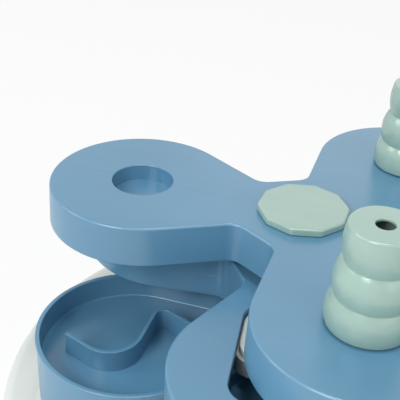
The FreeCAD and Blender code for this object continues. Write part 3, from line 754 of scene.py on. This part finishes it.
def makeMiddleBowl():
    own, seam, foot, wall = middle, levels["seam"], levels["middleFoot"], levels["wall"]
    chamfer, sink, past = work["chamfer"], work["sink"], work["past"]
    deckTop = seam - own["deckDrop"]
    groove = own["seamGroove"]
    section = [(wall, deckTop - own["deck"]), (wall, foot + chamfer), (wall - chamfer, foot)]
    section += rounded((0, foot), (wall, foot), (0, seam), own["footRim"], 4)
    section += [(0, seam - groove), (groove, seam), (wall - chamfer, seam), (wall, seam - chamfer)]
    section.append((wall, deckTop))
    bowl = lobedForm("middleBowl", section, levels["middleTurn"])
    lobes = lobeTurns(levels["middleTurn"])
    floor = deckTop - own["cupDepth"]
    cupOuter = own["cup"] + own["cupWall"]
    hub = levels["journal"] + levels["hubWall"]
    half = own["bowlRib"] / 2
    ribStart = hub - own["bowlRibSink"]
    ribEnd = levels["reach"] - cupOuter + own["bowlRibSink"]
    ribTop = deckTop - own["deck"] / 2
    for turn in lobes:
        added(
            bowl,
            barrel(cupOuter, floor - own["deck"], deckTop - sink, lobeCentre(turn), roundness["hub"]),
            brick((ribStart, -half, foot + own["bowlRibRise"]), (ribEnd, half, ribTop), turn))
    added(bowl, barrel(hub, levels["bowlHub"], deckTop - sink))
    for spot in bossSpots():
        added(bowl, barrel(levels["boss"], own["bossFoot"], deckTop - sink, spot, roundness["boss"]))
    for turn in lobes:
        hollow = [(0, deckTop + past), (own["cup"], deckTop + past)]
        hollow += rounded((own["cup"], floor), (own["cup"], deckTop), (0, floor), own["cupBend"], 5)
        hollow.append((0, floor))
        cut(bowl, spunForm("cup", hollow, roundness["cup"], lobeCentre(turn)))
    cut(bowl, barrel(levels["journal"], levels["bowlHub"] - past, seam + past))
    for spot in bossSpots():
        cut(bowl,
            barrel(levels["clearHole"], own["bossFoot"] - past, seam, spot, roundness["screw"]),
            barrel(own["headHole"], foot - past, own["screwSeat"], spot, roundness["bore"]))
    bevelled(bowl, own["cupRim"], 3, lambda a, b: onRing(a, b, lobes, own["cup"], deckTop))
    dressed(bowl, ["middle_bowl"], "middle_level", middleBlue)


def onWindowRim(a, b):
    # an edge of one of the three windows, on the cover's top
    if not atHeight(a, b, levels["coverTop"]):
        return False
    start = middle["windowStart"] - work["slack"]
    end = middle["windowEnd"] + work["slack"]
    half = middle["windowHalf"] + work["slack"]
    for turn in lobeTurns(-levels["middleTurn"]):
        spots = [spotAt(point.x, point.y, turn) for point in (a, b)]
        if all(start < x < end and abs(y) < half for x, y in spots):
            return True
    return False


def makeMiddleCover():
    own, seam, top, wall = middle, levels["seam"], levels["coverTop"], levels["wall"]
    chamfer, past, groove = work["chamfer"], work["past"], own["seamGroove"]
    section = [(wall, top - own["roof"]), (wall, seam + chamfer), (wall - chamfer, seam)]
    section += [(groove, seam), (0, seam + groove)]
    section += rounded((0, top), (0, seam), (work["inward"], top), own["rim"], 6)
    cover = lobedForm("middleCover", section, levels["middleTurn"])
    lobes = lobeTurns(levels["middleTurn"])
    under = top - own["roof"] / 2
    deckTop = seam - own["deckDrop"]
    low = deckTop + own["deckGap"]
    lipFoot = top - own["lipDepth"]
    start, end = own["windowStart"], own["windowEnd"]
    half, corner = own["windowHalf"], own["windowCorner"]
    back = start - lid["flangeBack"] - own["guidePlay"]
    front = end + own["guidePlay"]
    side = half + lid["flangeSide"] + own["guidePlay"]
    thick, lip = own["guideWall"], own["lip"]
    for turn in lobes:
        added(cover, padForm(back - thick, front + thick, side + thick, corner + thick, low, under, turn))
    for spot in bossSpots():
        added(cover, barrel(levels["boss"], low, under, spot, roundness["boss"]))
    added(cover, barrel(levels["journal"] + levels["hubWall"], low, under))
    for turn in lobes:
        cut(cover, padForm(back, front, side, corner, low - past, lipFoot, turn))
    for turn in lobes:
        added(cover, padForm(start - lip, end + lip, half + lip, corner + lip, lipFoot, under, turn))
    for turn in lobes:
        cut(cover, padForm(start, end, half, corner, low - past, top + past, turn, 14))
    cut(cover, barrel(levels["journal"], low - past, top + past))
    for spot in bossSpots():
        cut(cover, barrel(levels["pilot"], low - past, top - own["roof"], spot, roundness["screw"]))
    bevelled(cover, own["windowRim"], 3, onWindowRim)
    dressed(cover, ["middle_cover"], "middle_level", middleBlue)


makeMiddleBowl()
makeMiddleCover()
print("middle level made")


def fingerDish(x, y, top):
    # a big ball that dips into the lid's top
    depth = lid["dishDepth"]
    ball = (lid["dish"] ** 2 + depth ** 2) / (2 * depth)
    segments, rings = lid["ballSteps"]
    bpy.ops.mesh.primitive_uv_sphere_add(
        segments=segments, ring_count=rings, radius=ball * mm,
        location=Vector((x, y, top + ball - depth)) * mm)
    return bpy.context.object


def makeLid(number):
    own, wall = lid, lid["wall"]
    turn = levels["middleTurn"] + 120 * (number - 1)
    start = middle["windowStart"] + own["play"]
    end = start + own["length"]
    back = middle["windowStart"] - own["flangeBack"]
    half = middle["windowHalf"] - own["play"]
    side = middle["windowHalf"] + own["flangeSide"]
    corner = middle["windowCorner"] - own["play"]
    low = levels["seam"] - middle["deckDrop"] + own["rise"]
    step = levels["coverTop"] - middle["lipDepth"] - own["lipPlay"]
    top = levels["coverTop"] - own["topDrop"]
    flange = padForm(back, end, side, corner, low, step, turn)
    flange.name = "lid%d" % number
    bevelled(flange, own["flangeRim"], 2, lambda a, b: atHeight(a, b, step))
    raised = padForm(start, end - work["hair"], half, corner, step - wall / 2, top, turn, 14)
    bevelled(raised, own["rim"], 4, lambda a, b: atHeight(a, b, top))
    added(flange, raised)
    under = low - work["past"]
    inside = padForm(back + wall, end - wall, side - wall, corner - wall, under, step - wall, turn)
    cut(flange, inside, fingerDish(*spotAt((start + end) / 2, 0, turn), top))
    dressed(flange, ["lid_%d" % number], "lid_%d" % number, lidPlastic)


for number in (1, 2, 3):
    makeLid(number)
print("lids made")


# base: low round dish turned upside down, with a hollow lobed pedestal
base = {"radius": 126.0, "foot": 1.5, "edgeRound": 5.5, "innerRound": 3.5, "draft": 1.5, "innerDraft": 1.3,
        "wall": 2.5, "pedestalInset": 1.2, "footRound": 2.5, "topRound": 0.8, "hollowFoot": -1.5,
        "rib": 1.8, "ribCount": 12, "ribRise": 1.5, "ribReach": 60.0, "ribSink": 0.8, "notchReach": 25.4,
        "ring": (17.5, 19.5), "pads": 6, "padCircle": 112.0, "pad": 8.2, "seat": 7.15, "seatDepth": 1.5,
        "socket": 3.15, "socketDepth": 5.0, "axleHole": 2.15, "postScrews": 12.0}


def padSpots():
    return [spotAt(base["padCircle"], 0, 360 / base["pads"] * k) for k in range(base["pads"])]


def plateForm():
    # the round plate with its rolled edge
    own, low, plate = base, base["foot"], levels["plateTop"]
    outer, wall, chamfer = own["radius"], own["wall"], work["chamfer"]
    section = [(0.0, plate - wall), (0.0, plate)]
    section += straight((0, plate), (outer - own["edgeRound"], plate), 3)[:-1]
    section += rounded((outer, plate), (0, plate), (outer, low), own["edgeRound"], 8)
    section += [(outer - own["draft"] + chamfer, low + chamfer), (outer - own["draft"], low)]
    section.append((outer - wall - own["innerDraft"], low))
    corner = (outer - wall, plate - wall)
    section += rounded(corner, (outer - wall, low), (0, plate - wall), own["innerRound"], 5)
    return spunForm("base", section, roundness["base"])


def pedestalForm():
    # the lobed pedestal, with a fillet at its foot
    own, plate, top = base, levels["plateTop"], levels["pedestalTop"]
    reach = own["footRound"]
    dip = reach * (1 - math.sqrt(0.5))
    section = [(-reach, plate - own["wall"] / 2), (-reach, plate)]
    section += arcPoints((-reach, plate), (-dip, plate + dip), (0.0, plate + reach), 6)
    section += rounded((own["pedestalInset"], top), (0, plate), (work["inward"], top), own["topRound"], 4)
    return lobedForm("pedestal", section, levels["trayTurn"])


def addBaseRibs(dish):
    # short ribs under the plate, long ones under the lobes and notches, and the ring that ties them
    own, low, outer, wall = base, base["foot"], base["radius"], base["wall"]
    sink, hair, half = work["sink"], work["hair"], own["rib"] / 2
    roof = levels["plateTop"] - wall + sink
    upper = levels["pedestalTop"] - wall + sink
    ribFoot = low + own["ribRise"]
    ringInner, ringOuter = own["ring"]
    start = (ringInner + ringOuter) / 2
    for k in range(own["ribCount"]):
        turn = 360 / own["ribCount"] * (k + 0.5)
        added(dish, brick((start, -half, ribFoot + hair), (outer - wall + sink, half, roof), turn))
    lobeFoot = roof - own["ribSink"]
    for turn in lobeTurns(levels["trayTurn"]):
        for reach, aside in ((own["ribReach"], 0), (own["notchReach"], 60)):
            added(dish, brick((start, -half, lobeFoot), (reach, half, upper + hair), turn + aside))
    ring = [(ringInner, ribFoot), (ringOuter, ribFoot), (ringOuter, upper), (ringInner, upper)]
    added(dish, spunForm("ring", ring))


def makeBase():
    own, low, past = base, base["foot"], work["past"]
    wall, top = own["wall"], levels["pedestalTop"]
    dish = plateForm()
    added(dish, pedestalForm())
    hollow = [(wall, own["hollowFoot"]), (wall + own["pedestalInset"], top - wall)]
    cut(dish, lobedForm("hollow", hollow, levels["trayTurn"]))
    addBaseRibs(dish)
    roof = levels["plateTop"] - wall + work["sink"]
    for spot in padSpots():
        added(dish, barrel(own["pad"], low, roof, spot, roundness["foot"]))
    for spot in padSpots():
        cut(dish, barrel(own["seat"], low - past, low + own["seatDepth"], spot, roundness["foot"]))
    for spot in padSpots():
        cut(dish, barrel(own["socket"], low - past, low + own["socketDepth"], spot, roundness["bore"]))
    under, over = top - wall - past, top + past
    cut(dish, barrel(own["axleHole"], under, over, sides=roundness["bore"]))
    for turn in lobeTurns(levels["trayTurn"]):
        for spot in (lobeCentre(turn), spotAt(own["postScrews"], 0, turn + 60)):
            cut(dish, barrel(levels["clearHole"], under, over, spot, roundness["screw"]))
    dressed(dish, ["base"], "base", palePlastic)


makeBase()
print("base made")


# rubber feet: turned discs with a soft lower edge, a shallow hollow below and a plug above
rubberFoot = {"radius": 7.0, "rim": 0.5, "height": 3.0, "plug": 3.0, "plugTop": 6.3,
              "hollow": 4.0, "hollowEdge": 4.6, "hollowDepth": 0.4}


def makeFeet():
    own = rubberFoot
    radius, height, plug = own["radius"], own["height"], own["plug"]
    section = [(0.0, own["hollowDepth"]), (own["hollow"], own["hollowDepth"]), (own["hollowEdge"], 0.0)]
    section += rounded((radius, 0), (0, 0), (radius, height), own["rim"], 4)
    section += [(radius, height), (plug, height), (plug, own["plugTop"]), (0.0, own["plugTop"])]
    feet = joined([spunForm("foot", section, roundness["foot"], spot) for spot in padSpots()])
    feet.name = "rubberFeet"
    dressed(feet, ["rubber_feet"], "base", softRubber)


makeFeet()
print("feet made")


# what stays as it is gets its finish
finishes = {
    "post": postPlastic, "lower_washer": washerPlastic, "upper_washer": washerPlastic,
    "tray_screws": zincSteel, "post_screws": zincSteel, "middle_screws": zincSteel,
    "axle_screw": zincSteel, "axle_washer": zincSteel,
}
for node, finish in finishes.items():
    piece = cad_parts[node]
    piece.data.materials.clear()
    piece.data.materials.append(finish)
print("kept nodes finished")


# camera at the photograph's angle, in metres and degrees
view = {"place": (0.0338, -0.2823, 0.2736), "heading": 15.33, "down": 30.71, "roll": 3.19,
        "lens": 72.90, "sensor": 36, "nearest": 0.01}
cameraData = bpy.data.cameras.new("camera")
cameraData.lens = view["lens"]
cameraData.sensor_width = view["sensor"]
cameraData.clip_start = view["nearest"]
camera = bpy.data.objects.new("camera", cameraData)
bpy.context.scene.collection.objects.link(camera)
camera.matrix_world = (Matrix.Translation(view["place"])
                       @ Matrix.Rotation(math.radians(view["heading"]), 4, "Z")
                       @ Matrix.Rotation(math.radians(90 - view["down"]), 4, "X")
                       @ Matrix.Rotation(math.radians(view["roll"]), 4, "Z"))
bpy.context.scene.camera = camera

# plain pale floor: glow is how far the camera sees plain white in it, and the rest keeps the shadow
floorLook = {"size": 6.0, "colour": (236, 237, 238), "roughness": 0.8, "glow": 0.8}
bpy.ops.object.select_all(action="DESELECT")
bpy.ops.mesh.primitive_plane_add(size=floorLook["size"], location=(0, 0, 0))
floor = named("floor")
floorPaint, nodes, links = newMaterial("floorPaint")
paint = nodes["Principled BSDF"]
paint.inputs["Base Color"].default_value = srgb(*floorLook["colour"])
paint.inputs["Roughness"].default_value = floorLook["roughness"]
glow = nodes.new("ShaderNodeEmission")
seen = nodes.new("ShaderNodeLightPath")
share = sumNode(nodes, "MULTIPLY", floorLook["glow"])
blend = nodes.new("ShaderNodeMixShader")
links.new(seen.outputs["Is Camera Ray"], share.inputs[0])
links.new(share.outputs[0], blend.inputs["Fac"])
links.new(paint.outputs["BSDF"], blend.inputs[1])
links.new(glow.outputs["Emission"], blend.inputs[2])
links.new(blend.outputs["Shader"], nodes["Material Output"].inputs["Surface"])
floor.data.materials.append(floorPaint)

# soft studio light, in metres and watts, aimed at the middle of the puzzle
lamps = {
    "key": {"place": (-0.5, -1.15, 1.0), "size": 0.6, "power": 11.5},
    "side": {"place": (-1.45, -0.5, 0.9), "size": 0.6, "power": 5.0},
    "fill": {"place": (1.3, -0.9, 0.9), "size": 1.2, "power": 4.0},
    "back": {"place": (0.1, 1.7, 0.65), "size": 1.2, "power": 1.5},
    "above": {"place": (0.05, -0.1, 1.3), "size": 0.25, "power": 3.6},
}
# the world's strength as light, and as what the camera and a gloss see
studio = {"aim": (0, 0, 0.06), "light": 0.47, "seen": 1.0}
for name, lamp in lamps.items():
    light = bpy.data.lights.new(name, "AREA")
    light.size = lamp["size"]
    light.energy = lamp["power"]
    holder = bpy.data.objects.new(name, light)
    bpy.context.scene.collection.objects.link(holder)
    holder.location = lamp["place"]
    aim = Vector(studio["aim"]) - Vector(lamp["place"])
    holder.rotation_euler = aim.to_track_quat("-Z", "Y").to_euler()

world = bpy.data.worlds.new("studio")
bpy.context.scene.world = world
world.use_nodes = True
nodes, links = world.node_tree.nodes, world.node_tree.links
sky = nodes["Background"]
sky.inputs["Color"].default_value = (1.0, 1.0, 1.0, 1.0)
paths = nodes.new("ShaderNodeLightPath")
level = rangeNode(nodes, studio["light"], studio["seen"])
shown = sumNode(nodes, "MAXIMUM")
links.new(paths.outputs["Is Camera Ray"], shown.inputs[0])
links.new(paths.outputs["Is Glossy Ray"], shown.inputs[1])
links.new(shown.outputs[0], level.inputs["Value"])
links.new(level.outputs["Result"], sky.inputs["Strength"])
bpy.context.scene.view_settings.view_transform = "Standard"
print("camera, floor and light set")
